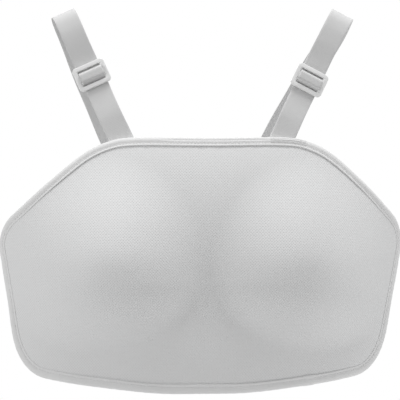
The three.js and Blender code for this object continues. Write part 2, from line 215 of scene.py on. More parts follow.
# Side view of a strap over the shoulder: back is a share of the way from its foot to BACK_DEPTH,
# up a share of SHOULDER_RISE.
OVER_SHOULDER = table(
    ("back", "up"),
    (0.049, 0.175),
    (0.115, 0.413),
    (0.163, 0.611),
    (0.193, 0.77),
    (0.223, 0.889),
    (0.27, 0.968),
    (0.36, 1.0),
    (0.468, 0.968),
    (0.575, 0.881),
    (0.659, 0.746),
    (0.725, 0.556),
    (0.779, 0.317),
    (0.8385, 0.0),
)
CREST_ROW = 6
# From its end down to the band: back is a share of the way to the band's outer side, down of the
# drop to its upper edge.
DOWN_THE_BACK = table(
    ("back", "down"),
    (0.925, 0.43),
    (0.99, 0.8),
)
# The band from the guard's side edge to the middle of the back: across is a share of the edge's
# distance from the middle, back a share of the way to BACK_DEPTH.
ROUND_THE_BACK = table(
    ("across", "back"),
    (0.975, 0.12),
    (0.955, 0.27),
    (0.9, 0.45),
    (0.8, 0.67),
    (0.66, 0.86),
    (0.52, 0.97),
    (0.42, 0.998),
    (0.33, 1.0),
    (0.12, 1.0),
)

# The tape's section on the front: inset is from the guard's edge inwards, raised from the cloth
# beneath, both in millimetres. A ridge lies inside the stitch line, a fuller roll outside it.
TAPE_FRONT = table(
    ("inset", "raised"),
    (6.85, 0.05),
    (7.05, 0.4),
    (7.05, 0.75),
    (6.85, 1.05),
    (6.4, 1.25),
    (5.8, 1.2),
    (5.2, 1.0),
    (4.65, 0.85),
    (4.2, 0.8),
    (3.7, 0.88),
    (3.0, 1.15),
    (2.2, 1.4),
    (1.5, 1.55),
    (0.9, 1.6),
    (0.4, 1.6),
)
# The same on the back, where it is pressed flat under the straps
TAPE_BACK = table(
    ("inset", "raised"),
    (0.8, 1.45),
    (2.0, 1.45),
    (3.2, 1.4),
    (3.9, 1.0),
    (4.3, 0.75),
    (4.7, 1.0),
    (5.5, 1.35),
    (6.3, 1.25),
    (6.9, 0.7),
    (6.85, 0.05),
)
# The sewing's unevenness: waves in one turn round the edge, none in step with another
WAVES = table(
    ("count", "share", "start"),
    (131, 0.5, 0.3),
    (83, 0.3, 1.1),
    (37, 0.2, 2.0),
)


def smooth_step(low, high, value):
    t = np.clip((value - low) / (high - low), 0.0, 1.0)
    return t * t * (3.0 - 2.0 * t)


def unit(vectors):
    return vectors / np.linalg.norm(vectors, axis=-1, keepdims=True)


def fading(distance, reach):
    """A bell: 1 at no distance, and nearly nothing at twice the reach."""
    return np.exp(-(distance / reach) ** 2)


def between(first, second, share):
    return first * (1 - share) + second * share


def distances_along(points):
    """Distance from the first of a row of points to each of them."""
    return np.concatenate([[0.0], np.cumsum(np.linalg.norm(np.diff(points, axis=0), axis=-1))])


def cup(across, height, side):
    """A cup is rounder below its level, and its middle line moves outwards there."""
    reach = np.where(height > CUP_LEVEL, CUP_RISE, CUP_FALL)
    upper = smooth_step(CUP_LEVEL - CUP_BLEND, CUP_LEVEL + CUP_BLEND, height)
    roundness = CUP_ROUNDNESS_BELOW + (CUP_ROUNDNESS - CUP_ROUNDNESS_BELOW) * upper
    drop = np.maximum(CUP_LEVEL - height, 0.0)
    spread = CUP_SPREAD * (np.hypot(drop, CUP_SPREAD_EASE) - CUP_SPREAD_EASE)
    centre = side * (CUP_SPACING / 2 + spread)
    radius = np.hypot((across - centre) / CUP_HALF_WIDTH, (height - CUP_LEVEL) / reach)
    return CUP_HEIGHT * (1.0 - np.minimum(radius, 1.0) ** roundness) ** 2


def cups(across, height):
    return cup(across, height, 1) + cup(across, height, -1)


def wrap_depth(across):
    """How far back the guard curves round the chest, at a place across it."""
    turn = 1.0 - np.sqrt(1.0 - (WRAP_FULLNESS * across / HALF_WIDTH) ** 2)
    return WRAP_DEPTH * turn / (1.0 - math.sqrt(1.0 - WRAP_FULLNESS ** 2))


def face_depth(across, height):
    lean = TOP_LEAN * np.maximum(height / TOP_HEIGHT, 0.0) ** 2
    curl = BOTTOM_CURL * np.maximum((CURL_LEVEL - height) / (CURL_LEVEL + BOTTOM_DROP), 0.0) ** 2
    middle = cups(0.0, 0.0)
    return wrap_depth(across) + lean + curl - cups(across, height) + middle - WALL


def face_point(across, height):
    return np.stack([across + SWAY * height, face_depth(across, height), height], -1)


def face_normal(across, height):
    step = SLOPE_STEP
    slope_across = (face_depth(across + step, height) - face_depth(across - step, height)) / (2 * step)
    slope_up = (face_depth(across, height + step) - face_depth(across, height - step)) / (2 * step)
    return unit(np.stack([slope_across, -np.ones_like(slope_across), slope_up - slope_across * SWAY], -1))


def behind_face(across, height, distance):
    return face_point(across, height) - face_normal(across, height) * np.asarray(distance)[..., None]


def spline(points, places, closed=False):
    """Points at places from 0 to 1 on a smooth curve through the given points."""
    points = np.asarray(points, float)
    if closed:
        around = np.concatenate([points[-1:], points, points[:2]])
        spans = len(points)
        place = (np.asarray(places) % 1.0) * spans
    else:
        before = 2 * points[0] - points[1]
        after = 2 * points[-1] - points[-2]
        around = np.concatenate([[before], points, [after]])
        spans = len(points) - 1
        place = np.clip(places, 0.0, 1.0) * spans
    first = np.minimum(np.floor(place).astype(int), spans - 1)
    share = (place - first)[:, None]
    p0, p1, p2, p3 = (around[first + k] for k in range(4))
    d0, d1, d2 = (np.sqrt(np.linalg.norm(b - a, axis=-1))[:, None] for a, b in ((p0, p1), (p1, p2), (p2, p3)))
    t1 = ((p1 - p0) / d0 - (p2 - p0) / (d0 + d1) + (p2 - p1) / d1) * d1
    t2 = ((p2 - p1) / d1 - (p3 - p1) / (d1 + d2) + (p3 - p2) / d2) * d1
    square = -3 * p1 + 3 * p2 - 2 * t1 - t2
    cube = 2 * p1 - 2 * p2 + t1 + t2
    return p1 + share * (t1 + share * (square + share * cube))


def outline_points():
    upper = [(row["across"] * HALF_WIDTH, row["up"] * TOP_HEIGHT) for row in UPPER_OUTLINE]
    lower = [(row["across"] * HALF_WIDTH, -row["down"] * BOTTOM_DROP) for row in LOWER_OUTLINE]
    mirrored = [(-across, height) for across, height in reversed(upper[:-1])]
    return upper + mirrored + [(-across, height) for across, height in lower] + lower[-2::-1]


OUTLINE = outline_points()


def outline_at(shares):
    """Places on the outline. The first half of the shares is the upper edge."""
    half = (np.asarray(shares) % 1.0) * 2
    span = np.where(half < 1, half * UPPER_SPANS, UPPER_SPANS + (half - 1) * LOWER_SPANS)
    return spline(OUTLINE, span / (UPPER_SPANS + LOWER_SPANS), closed=True)


def edge_stations(count):
    """Frames round the edge: the edge, a line just inside the tape, and the ways out and forward."""
    shares = np.arange(count) / count
    nudge = 1e-5
    across, height = outline_at(shares).T
    run = unit(outline_at(shares + nudge) - outline_at(shares - nudge))
    edge = face_point(across, height)
    ahead = face_point(across + run[:, 0] * SLOPE_STEP, height + run[:, 1] * SLOPE_STEP)
    normal = face_normal(across, height)
    outward = -unit(np.cross(unit(ahead - edge), normal))
    outward *= np.where(outward[:, 0] * across + outward[:, 2] * height < 0, -1, 1)[:, None]
    inset_height = height - outward[:, 2] * BORDER
    inset_across = across - outward[:, 0] * BORDER + SWAY * outward[:, 2] * BORDER
    inner = face_point(inset_across, inset_height)
    out = unit(edge - inner)
    face = unit(normal - out * np.sum(normal * out, -1, keepdims=True))
    return dict(edge=edge, inner=inner, out=out, face=face, across=inset_across, height=inset_height,
                edge_across=across, edge_height=height)


def unevenness(turn):
    """A small wave round the edge that never repeats in step, from -1 to 1."""
    angle = 2 * math.pi * turn
    return sum(wave["share"] * np.sin(wave["count"] * angle + wave["start"]) for wave in WAVES)


def new_object(name, data):
    made = bpy.data.objects.new(name, data)
    bpy.context.scene.collection.objects.link(made)
    return made


def mesh_object(name, points, faces, uvs):
    """A smooth mesh, turned so that its faces point outwards. uvs has a pair for each corner."""
    corners = np.array([face[:3] for face in faces])
    rest = np.array([(face[0], face[2], face[3]) for face in faces if len(face) == 4])
    triangles = np.concatenate([corners, rest])
    a, b, c = (points[triangles[:, k]] for k in range(3))
    if np.sum(a * np.cross(b, c)) < 0:
        faces = [face[::-1] for face in faces]
        uvs = [pairs[::-1] for pairs in uvs]
    mesh = bpy.data.meshes.new(name)
    mesh.from_pydata(points.tolist(), [], faces)
    flat = np.array([value for pairs in uvs for pair in pairs for value in pair], dtype=np.float32)
    mesh.uv_layers.new(name="lie").data.foreach_set("uv", flat)
    mesh.polygons.foreach_set("use_smooth", [True] * len(mesh.polygons))
    mesh.update()
    return new_object(name, mesh)


def swept(name, sections, along, is_ring):
    """A skin through equal closed sections, joined into a ring or closed with a flat end each side."""
    count, size = sections.shape[:2]
    steps = np.linalg.norm(np.roll(sections, -1, axis=1) - sections, axis=-1).mean(axis=0)
    around = np.concatenate([[0.0], np.cumsum(steps)])
    faces = []
    uvs = []
    for row in range(count if is_ring else count - 1):
        here = row * size
        there = ((row + 1) % count) * size
        for k in range(size):
            after = (k + 1) % size
            faces.append((here + k, here + after, there + after, there + k))
            uvs.append([(around[k], along[row]), (around[k + 1], along[row]),
                        (around[k + 1], along[row + 1]), (around[k], along[row + 1])])
    if not is_ring:
        last = (count - 1) * size
        faces.append(tuple(range(size - 1, -1, -1)))
        faces.append(tuple(range(last, last + size)))
        uvs += [[(0.0, 0.0)] * size, [(0.0, 0.0)] * size]
    return mesh_object(name, sections.reshape(-1, 3), faces, uvs)


def wrap_length(across):
    """Length round the chest from the middle to a place across the guard, without the cups."""
    places = np.linspace(-HALF_WIDTH, HALF_WIDTH, WRAP_SAMPLES)
    length = distances_along(np.stack([places, wrap_depth(places)], -1))
    return np.interp(across, places, length - length[len(length) // 2])


# The guard

# The seam pulls the cloth down beside the tape, and puckers it further in
SEAM_DIP = 0.15 * MM
SEAM_REACH = 1.4 * MM
SEAM_FROM = -1.5 * MM
SEAM_FULL = 0.3 * MM
PUCKER = 0.16 * MM
PUCKER_REACH = 9 * MM
PUCKER_FULL = 2.5 * MM
# Rings of the border, as shares of the way from the edge to the line just inside the tape
BORDER_PLACES = [0.0, 0.3, 0.55, 0.7, 0.78, 0.84, 0.9, 0.95]


def seam_shape(inside, turn):
    """How far the cloth is pulled down at a distance inside the tape, and puckers there."""
    beyond = np.maximum(inside, 0.0)
    dip = SEAM_DIP * fading(beyond, SEAM_REACH) * smooth_step(SEAM_FROM, SEAM_FULL, inside)
    wave = PUCKER * unevenness(turn) * fading(beyond, PUCKER_REACH)
    return dip + wave * smooth_step(0.0, PUCKER_FULL, inside)


def shell_face(stations, is_front):
    """One face of the guard, as rings from its edge to a line across its middle."""
    turn = np.arange(SHELL_STATIONS) / SHELL_STATIONS
    base = 0.0 if is_front else EDGE_WALL
    sign = 1.0 if is_front else -1.0
    rings = []
    places = []
    for share in BORDER_PLACES:
        depth = base + sign * seam_shape(share * BORDER - TAPE_WIDTH, turn)
        point = between(stations["edge"], stations["inner"], share)
        rings.append(point - stations["face"] * depth[:, None])
        places.append((between(stations["edge_across"], stations["across"], share),
                       between(stations["edge_height"], stations["height"], share)))
    spine = SPINE_SHARE * HALF_WIDTH * np.cos(2 * math.pi * turn)
    reach = np.hypot(stations["across"] - spine, stations["height"])
    for step in range(SHELL_RINGS + 1):
        share = 1 - (step / SHELL_RINGS) ** RING_CROWDING
        across = between(spine, stations["across"], share)
        height = stations["height"] * share
        depth = seam_shape(TAPE_MARGIN + (1 - share) * reach, turn) * (1.0 if share > 0 else 0.0)
        if not is_front:
            depth = EDGE_WALL + (WALL - EDGE_WALL) * (1 - smooth_step(PADDED_FROM, 1.0, share)) - depth
        rings.append(behind_face(across, height, depth))
        places.append((across, height))
    return rings, places


def guard_shell():
    stations = edge_stations(SHELL_STATIONS)
    middle = SHELL_STATIONS // 2 + 1
    points = []
    lies = []
    for is_front in (True, False):
        rings, places = shell_face(stations, is_front)
        lie = [np.stack([wrap_length(across), height], -1) for across, height in places]
        points += rings[:-1] + [rings[-1][:middle]]
        lies += lie[:-1] + [lie[-1][:middle]]
    rows = len(BORDER_PLACES) + SHELL_RINGS
    front_size = rows * SHELL_STATIONS + middle
    points = np.concatenate(points)
    lies = np.concatenate(lies)

    def place(row, index, side):
        around = index % SHELL_STATIONS
        if row == rows:
            around = min(around, SHELL_STATIONS - around)
        return side * front_size + row * SHELL_STATIONS + around

    faces = []
    for index in range(SHELL_STATIONS):
        for row in range(rows):
            for side in (0, 1):
                corners = [place(row, index, side), place(row, index + 1, side),
                           place(row + 1, index + 1, side), place(row + 1, index, side)]
                corners = list(dict.fromkeys(corners))
                if len(corners) > 2:
                    faces.append(corners[::-1] if side else corners)
        faces.append([place(0, index + 1, 0), place(0, index, 0), place(0, index, 1), place(0, index + 1, 1)])
    uvs = [[tuple(lies[corner]) for corner in face] for face in faces]
    return mesh_object("guard_shell", points, faces, uvs)


# The tape round the edge

# It swells unevenly and draws in at each stitch, away from a line inside its edge
ROLL_SWELL = 0.1 * MM
SCALLOP = 0.08 * MM
SCALLOP_REACH = 1.6 * MM
SWELL_FROM = 3 * MM
# Its inner skin lies just outside the guard's edge, and just off the cloth
SKIN_OUT = 0.2 * MM
SKIN_OFF = 0.02 * MM
# A soft crease along the top edge, and the place on the lower edge where the tape's end laps over
CREASE = dict(low=-38 * MM, high=62 * MM, fade=26 * MM, inset=0.7 * MM, reach=0.75 * MM, depth=0.75 * MM)
LAP = dict(start=0.492, length=15 * MM, sharp=0.5 * MM, soft=9 * MM, rise=0.5 * MM)
# The ridge inside the stitch line is full along the middle of the top and bottom edges and nearly
# flat along the sides. The loss grows from the inset foot to the inset inside.
RIDGE = dict(foot=2.8 * MM, inside=5.2 * MM, loss=0.8)
RIDGE_ABOVE = dict(full_to=135 * MM, gone_at=192 * MM)
RIDGE_BELOW = dict(full_to=100 * MM, gone_at=165 * MM)


def tape_section():
    """Section of the tape, out from the edge and up from the front cloth, and how loose it is there."""
    front = [(-row["inset"] * MM, row["raised"] * MM) for row in TAPE_FRONT]
    back = [(-row["inset"] * MM, -EDGE_WALL - row["raised"] * MM) for row in TAPE_BACK]
    angle = math.pi * (0.5 - np.arange(TAPE_ROUND_STEPS + 1) / TAPE_ROUND_STEPS)
    rounding = np.stack([TAPE_RADIUS * np.cos(angle), -EDGE_WALL / 2 + TAPE_RADIUS * np.sin(angle)], -1)
    inside = [(SKIN_OUT, -EDGE_WALL - SKIN_OFF), (SKIN_OUT, SKIN_OFF)]
    section = np.concatenate([front, rounding, back, inside])
    looseness = np.zeros(len(section))
    looseness[1:-len(inside) - 1] = 1.0
    return section, looseness


def edge_crease(stations):
    """Depth of the soft crease at each place round the edge. It lies on the top edge only."""
    across = stations["edge"][:, 0]
    half = CREASE["fade"] / 2
    rising = smooth_step(CREASE["low"] - half, CREASE["low"] + half, across)
    falling = 1 - smooth_step(CREASE["high"] - half, CREASE["high"] + half, across)
    return CREASE["depth"] * rising * falling * (stations["edge_height"] > 0)


def crease_share(section):
    """How much of the crease each point of the tape's section takes."""
    return fading(section[:, 0] + CREASE["inset"], CREASE["reach"]) * (section[:, 1] > -EDGE_WALL / 2)


def tape_lap(stations, distance):
    """How far the tape stands proud where its end laps over its start."""
    across = np.where(stations["edge_height"] < 0, stations["edge_across"], -1.0)
    along = distance - distance[np.argmin(np.abs(across - LAP["start"] * HALF_WIDTH))]
    up = smooth_step(-LAP["sharp"], LAP["sharp"], along)
    return LAP["rise"] * up * (1 - smooth_step(LAP["length"] - LAP["soft"], LAP["length"], along))


def ridge_loss(stations, inset):
    """Share of the ridge's height that is lost at each place round the edge, at an inset from it."""
    aside = np.abs(stations["edge_across"])
    above = smooth_step(RIDGE_ABOVE["full_to"], RIDGE_ABOVE["gone_at"], aside)
    below = smooth_step(RIDGE_BELOW["full_to"], RIDGE_BELOW["gone_at"], aside)
    along_side = np.where(stations["edge_height"] > 0, above, below)
    return np.multiply.outer(along_side, RIDGE["loss"] * smooth_step(RIDGE["foot"], RIDGE["inside"], inset))


def bound_edge():
    stations = edge_stations(TAPE_STATIONS)
    section, looseness = tape_section()
    ways = unit(section - [-SWELL_FROM, -EDGE_WALL / 2])
    distance = distances_along(np.concatenate([stations["edge"], stations["edge"][:1]]))
    turn = distance[:-1] / distance[-1]
    loose = 0.5 - 0.5 * np.cos(2 * math.pi * turn * round(distance[-1] / STITCH_PITCH))
    near_stitch = fading(-section[:, 0] - STITCH_INSET, SCALLOP_REACH)
    swell = ROLL_SWELL * unevenness(turn)[:, None] + SCALLOP * loose[:, None] * near_stitch
    swell = swell - edge_crease(stations)[:, None] * crease_share(section)
    swell = swell + tape_lap(stations, distance[:-1])[:, None]
    moved = section + ways * (swell * looseness)[..., None]
    moved[..., 1] -= ridge_loss(stations, -section[:, 0]) * np.maximum(section[:, 1], 0.0)
    sections = (stations["edge"][:, None] + stations["out"][:, None] * moved[..., :1]
                + stations["face"][:, None] * moved[..., 1:])
    return swept("bound_edge", sections, distance, True)


# The straps

def on_path(samples, distances):
    """Points and directions at distances along a finely sampled path."""
    length = distances_along(samples)

    def point(places):
        return np.stack([np.interp(places, length, samples[:, k]) for k in range(3)], -1)

    distances = np.clip(distances, 0.0, length[-1])
    low = np.clip(distances - DIRECTION_STEP, 0.0, length[-1])
    high = np.clip(distances + DIRECTION_STEP, 0.0, length[-1])
    return point(distances), unit(point(high) - point(low))


def strap_samples(strap):
    """A strap's middle line, from its foot behind the guard's top edge to its tail on the band."""
    keys = ("foot", "crest", "slip", "drift", "tail")
    foot, crest, slip, drift, tail = (strap[key] * HALF_WIDTH for key in keys)
    depth = BEHIND_TAPE + STRAP_EASE + WEBBING_WALL / 2
    top = TOP_HEIGHT + EDGE_WALL

    def lateral(height):
        return foot + (crest - foot) * (height - top) / SHOULDER_RISE

    sewn_height = np.array([TOP_HEIGHT - STRAP_OVERLAP, TOP_HEIGHT - STRAP_OVERLAP / 2, top])
    sewn = behind_face(lateral(sewn_height) - SWAY * sewn_height, sewn_height, np.full(3, depth))
    start = sewn[2][1]
    route = list(sewn)
    for index, row in enumerate(OVER_SHOULDER):
        height = top + row["up"] * SHOULDER_RISE
        moved = slip * smooth_step(CREST_ROW - 2, CREST_ROW + 3, index)
        moved += drift * smooth_step(CREST_ROW + 2, len(OVER_SHOULDER) - 1, index)
        route.append((lateral(height) + moved, start + row["back"] * (BACK_DEPTH - start), height))
    band_top = BAND_LEVEL + BAND_WIDTH / 2
    on_band = BACK_DEPTH + BAND_WALL / 2 + GAP + WEBBING_WALL / 2
    for row in DOWN_THE_BACK:
        drop = (band_top - top) * row["down"]
        straight = lateral(top + drop * REAR_LEAN) + slip + drift
        route.append((straight + (tail - straight) * row["down"], start + row["back"] * (on_band - start),
                      top + drop))
    for place in TAIL_PLACES:
        route.append((tail, on_band, band_top + BAND_WIDTH * place))
    return spline(route, np.linspace(0.0, 1.0, PATH_SAMPLES))


def path_length(samples):
    return np.linalg.norm(np.diff(samples, axis=0), axis=-1).sum()


def slider_distance(strap, samples):
    height = TOP_HEIGHT + EDGE_WALL + strap["slider"] * SHOULDER_RISE
    distances = np.arange(0.0, path_length(samples) / 2, SEARCH_STEP)
    points, _ = on_path(samples, distances)
    return distances[np.argmax(points[:, 2] >= height)]


def strap_frames(strap, samples, distances):
    """Centre, and the ways along, across and out of the webbing, at distances along it."""
    centre, along = on_path(samples, distances)
    lean = math.atan2((strap["crest"] - strap["foot"]) * HALF_WIDTH, SHOULDER_RISE)
    top = TOP_HEIGHT + EDGE_WALL
    foot = face_normal(strap["foot"] * HALF_WIDTH, TOP_HEIGHT)
    follow_face = -(foot[0] * math.cos(lean) - foot[2] * math.sin(lean)) / foot[1]
    straight_from = top + SHOULDER_RISE * strap["slider"] - SLIDER_LENGTH / 2
    settled = np.where(centre[:, 1] < BACK_DEPTH / 2, 1 - smooth_step(top, straight_from, centre[:, 2]), 0.0)
    width = np.stack([np.full_like(settled, math.cos(lean)), follow_face * settled,
                      np.full_like(settled, -math.sin(lean))], -1)
    width = unit(width - along * np.sum(width * along, -1, keepdims=True))
    return centre, along, width, unit(np.cross(width, along))


def weave(along):
    """How far the webbing stands off its middle line as it weaves through the slider."""
    touching = SLIDER_WALL / 2 + GAP + WEBBING_WALL / 2
    over = touching + WEAVE_RISE
    under = touching + WEAVE_DROP
    distance = np.abs(along)
    end = SLIDER_LENGTH / 2
    turn_end = end - SLIDER_BAR - BAR_CLEARANCE
    inside = over - (over + under) * smooth_step(0.0, turn_end, distance) ** WEAVE_FULLNESS
    outside = -under * (1 - smooth_step(end + WEAVE_STRAIGHT, end + WEAVE_FADE, distance))
    return np.where(distance < turn_end, inside, outside)


def webbing_section():
    """Flat webbing with a thin selvedge bead near each edge."""
    half = WEBBING_WALL / 2
    flat = WEBBING_WIDTH / 2 - half
    across = np.linspace(-flat, flat, FACE_POINTS)
    bead = SELVEDGE["height"] * fading(np.abs(across) - (flat - SELVEDGE["inset"]), SELVEDGE["reach"])
    hollow = FACE_HOLLOW * (1 - (across / flat) ** 2)
    top = np.stack([across, half - FACE_LOWER + bead - hollow], -1)
    end = np.stack([flat + half * np.cos(ROUND_EDGE), (half - FACE_LOWER) * np.sin(ROUND_EDGE)], -1)
    bottom = top[::-1] * [1, -1]
    return np.concatenate([top, end, bottom, -end])


def strap_webbing(strap):
    samples = strap_samples(strap)
    length = path_length(samples)
    slider = slider_distance(strap, samples)
    distances = np.linspace(0.0, length, int(length / STRAP_STEP) + 1)
    near = SLIDER_LENGTH / 2 + FINE_RUN
    fine = np.linspace(slider - near, slider + near, FINE_STEPS)
    distances = np.concatenate([distances[np.abs(distances - slider) > near + STRAP_STEP / 2], fine])
    distances.sort()
    centre, _, width, out = strap_frames(strap, samples, distances)
    middle = centre + out * weave(distances - slider)[:, None]
    out = unit(np.cross(width, unit(np.gradient(middle, axis=0))))
    section = webbing_section()
    wander = WANDER["aside"] * np.sin(2 * math.pi * distances / WANDER["every"] + strap["slider"])
    sections = (middle[:, None] + width[:, None] * (section[None, :, :1] + wander[:, None, None])
                + out[:, None] * section[None, :, 1:])
    return swept(f"strap_webbing_{strap['name']}", sections, distances, False)


def rounded_box(half_width, low, high, radius, steps):
    """Points round a box with rounded corners, as wide to the left as to the right."""
    aside = half_width - radius
    corners = [(aside, high - radius), (-aside, high - radius), (-aside, low + radius), (aside, low + radius)]
    points = []
    for turn, (x, y) in enumerate(corners):
        for step in range(steps + 1):
            angle = math.pi / 2 * (turn + step / steps)
            points.append((x + radius * math.cos(angle), y + radius * math.sin(angle)))
    return points


def slider_mesh():
    """A moulded frame with rounded bars: two windows with a bar between them."""
    half_window = WEBBING_WIDTH / 2 + WINDOW_CLEARANCE
    half_length = SLIDER_LENGTH / 2
    near = SLIDER_MIDDLE_BAR / 2
    far = half_length - SLIDER_BAR
    loops = [rounded_box(half_window + SLIDER_SIDE, -half_length, half_length, SLIDER_CORNER, CORNER_STEPS),
             rounded_box(half_window, near, far, WINDOW_CORNER, WINDOW_STEPS),
             rounded_box(half_window, -far, -near, WINDOW_CORNER, WINDOW_STEPS)]
    curve = bpy.data.curves.new("slider_shape", "CURVE")
    curve.dimensions = "2D"
    curve.fill_mode = "BOTH"
    curve.extrude = SLIDER_WALL / 2 - SLIDER_BEVEL
    curve.bevel_depth = SLIDER_BEVEL
    curve.bevel_resolution = BEVEL_STEPS
    curve.offset = -SLIDER_BEVEL
    for points in loops:
        line = curve.splines.new("POLY")
        line.points.add(len(points) - 1)
        line.points.foreach_set("co", [value for x, y in points for value in (x, y, 0.0, 1.0)])
        line.use_cyclic_u = True
    return mesh_of(new_object("slider_shape", curve))


def mesh_of(source):
    """The plain mesh of an object as it is shown. The object itself goes."""
    mesh = bpy.data.meshes.new_from_object(source.evaluated_get(bpy.context.evaluated_depsgraph_get()))
    bpy.data.objects.remove(source)
    return mesh


def strap_slider(strap):
    mesh = slider_mesh()
    samples = strap_samples(strap)
    distance = slider_distance(strap, samples)
    centre, along, width, out = (rows[0] for rows in strap_frames(strap, samples, np.array([distance])))
    mesh.transform(Matrix([[width[k], along[k], out[k], centre[k]] for k in range(3)] + [[0, 0, 0, 1]]))
    mesh.name = f"strap_slider_{strap['name']}"
    close_seams(mesh)
    mesh.shade_smooth()
    mesh.set_sharp_from_angle(angle=SLIDER_SHARP_FROM)
    return new_object(mesh.name, mesh)


def close_seams(mesh):
    work = bmesh.new()
    work.from_mesh(mesh)
    bmesh.ops.remove_doubles(work, verts=work.verts, dist=WELD)
    bmesh.ops.recalc_face_normals(work, faces=work.faces)
    work.to_mesh(mesh)
    work.free()


# The band behind

def side_edge(height):
    """Distance of the guard's side edge from the middle, at a height."""
    places = outline_at(np.linspace(BOTTOM_MIDDLE, 1.0, EDGE_SAMPLES))
    return np.interp(height, places[:, 1], places[:, 0])


def band_samples(height):
    """The band's middle line at a height, from one side of the guard round the back to the other."""
    edge = side_edge(height)
    depth = BEHIND_TAPE + BAND_WALL / 2
    overlap = BAND_OVERLAP * abs(face_normal(edge, height)[1])
    sewn = [behind_face(edge - overlap * share, height, depth) for share in (1.0, 0.5, 0.0)]
    start = float(face_depth(edge, height))
    middle = SWAY * height
    free = [(row["across"] * edge + middle, start + row["back"] * (BACK_DEPTH - start), height)
            for row in ROUND_THE_BACK]
    half = np.array(sewn + free)
    mirrored = half[::-1] * [-1, 1, 1] + [2 * middle, 0, 0]
    return spline(np.concatenate([half, mirrored]), np.linspace(0.0, 1.0, BAND_SAMPLES))


def rear_band():
    levels = np.linspace(-0.5, 0.5, BAND_ROWS)
    rib = RIB_HEIGHT * np.cos(2 * math.pi * levels * BAND_WIDTH / RIB_PITCH)
    edge = np.clip((0.5 - np.abs(levels)) * BAND_WIDTH / BAND_ROUNDING, 0.0, 1.0)
    half_wall = (BAND_WALL / 2 - RIB_HEIGHT) * np.sqrt(1 - (1 - edge) ** 2 * BAND_EDGE_LOSS) + rib * edge
    shares = np.linspace(0.0, 1.0, BAND_STEPS + 1)
    outer = []
    inner = []
    for level, wall in zip(levels, half_wall):
        samples = band_samples(BAND_LEVEL + BAND_WIDTH * level)
        point, along = on_path(samples, shares * path_length(samples))
        outward = unit(np.stack([-along[:, 1], along[:, 0], np.zeros(len(along))], -1))
        outer.append(point + outward * wall)
        inner.append(point - outward * wall)
    sections = np.stack(outer + inner[::-1], axis=1)
    return swept("rear_band", sections, shares * path_length(band_samples(BAND_LEVEL)), False)


# Sewing

def feed(socket, value):
    """A link from another socket, or a plain value."""
    if hasattr(value, "is_output"):
        socket.id_data.links.new(value, socket)
    else:
        socket.default_value = value


def set_inputs(node, **values):
    for label, value in values.items():
        feed(node.inputs[label.replace("_", " ")], value)


def join(tree, *rows):
    """Links, each from a node and its output to a node and its input."""
    for source, output, target, entry in rows:
        tree.links.new(source.outputs[output], target.inputs[entry])


def stitch_tree():
    """Thread stitches at an even pitch along the lines of a mesh."""
    tree = bpy.data.node_groups.new("run_of_stitches", "GeometryNodeTree")
    tree.interface.new_socket("Lines", in_out="INPUT", socket_type="NodeSocketGeometry")
    sizes = {"Pitch": STITCH_PITCH, "Stitch length": STITCH_LENGTH, "Thread": THREAD_THICKNESS}
    for name, value in sizes.items():
        socket = tree.interface.new_socket(name, in_out="INPUT", socket_type="NodeSocketFloat")
        socket.default_value = value
    tree.interface.new_socket("Finish", in_out="INPUT", socket_type="NodeSocketMaterial")
    tree.interface.new_socket("Stitches", in_out="OUTPUT", socket_type="NodeSocketGeometry")
    kinds = ("NodeGroupInput", "NodeGroupOutput", "GeometryNodeMeshToCurve", "GeometryNodeResampleCurve",
             "GeometryNodeInputTangent", "FunctionNodeAlignRotationToVector", "GeometryNodeMeshUVSphere",
             "ShaderNodeCombineXYZ", "GeometryNodeTransform", "GeometryNodeInstanceOnPoints",
             "GeometryNodeRealizeInstances", "GeometryNodeSetShadeSmooth", "GeometryNodeSetMaterial")
    given, made, line, spread, way, turn, ball, size, drawn, placed, real, smooth, finish = (
        tree.nodes.new(kind) for kind in kinds)
    spread.mode = "LENGTH"
    turn.axis = "X"
    set_inputs(ball, Segments=8, Rings=6, Radius=0.5)
    join(tree, (given, "Lines", line, "Mesh"), (line, "Curve", spread, "Curve"),
         (given, "Pitch", spread, "Length"), (given, "Stitch length", size, "X"),
         (given, "Thread", size, "Y"), (given, "Thread", size, "Z"), (ball, "Mesh", drawn, "Geometry"),
         (size, "Vector", drawn, "Scale"), (way, "Tangent", turn, "Vector"),
         (spread, "Curve", placed, "Points"), (drawn, "Geometry", placed, "Instance"),
         (turn, "Rotation", placed, "Rotation"), (placed, "Instances", real, "Geometry"),
         (real, "Geometry", smooth, "Geometry"), (smooth, "Geometry", finish, "Geometry"),
         (given, "Finish", finish, "Material"), (finish, "Geometry", made, "Stitches"))
    return tree


def stitches(name, tree, lines, material, pitch):
    """Stitches along open or closed lines of points. Each line is a pair: its points, and if it closes."""
    points = []
    edges = []
    for line, is_closed in lines:
        first = len(points)
        points += [tuple(point) for point in line]
        edges += [(first + k, first + k + 1) for k in range(len(line) - 1)]
        if is_closed:
            edges.append((first + len(line) - 1, first))
    mesh = bpy.data.meshes.new(name + "_lines")
    mesh.from_pydata(points, edges, [])
    source = new_object(name + "_lines", mesh)
    modifier = source.modifiers.new("stitches", "NODES")
    modifier.node_group = tree
    sockets = {item.name: item.identifier for item in tree.interface.items_tree if item.in_out == "INPUT"}
    modifier[sockets["Pitch"]] = pitch
    modifier[sockets["Finish"]] = material
    made = mesh_of(source)
    made.name = name
    return new_object(name, made)


def edge_stitch_lines():
    """The stitch line on the tape, on the front and on the back."""
    stations = edge_stations(TAPE_STATIONS)
    seam = stations["edge"] - stations["out"] * STITCH_INSET
    raised = FRONT_GROOVE * (1 - ridge_loss(stations, STITCH_INSET)) + THREAD_PROUD
    front = seam + stations["face"] * raised[:, None]
    back = seam - stations["face"] * (EDGE_WALL + BACK_GROOVE + THREAD_PROUD)
    return [(front, True), (back, True)]


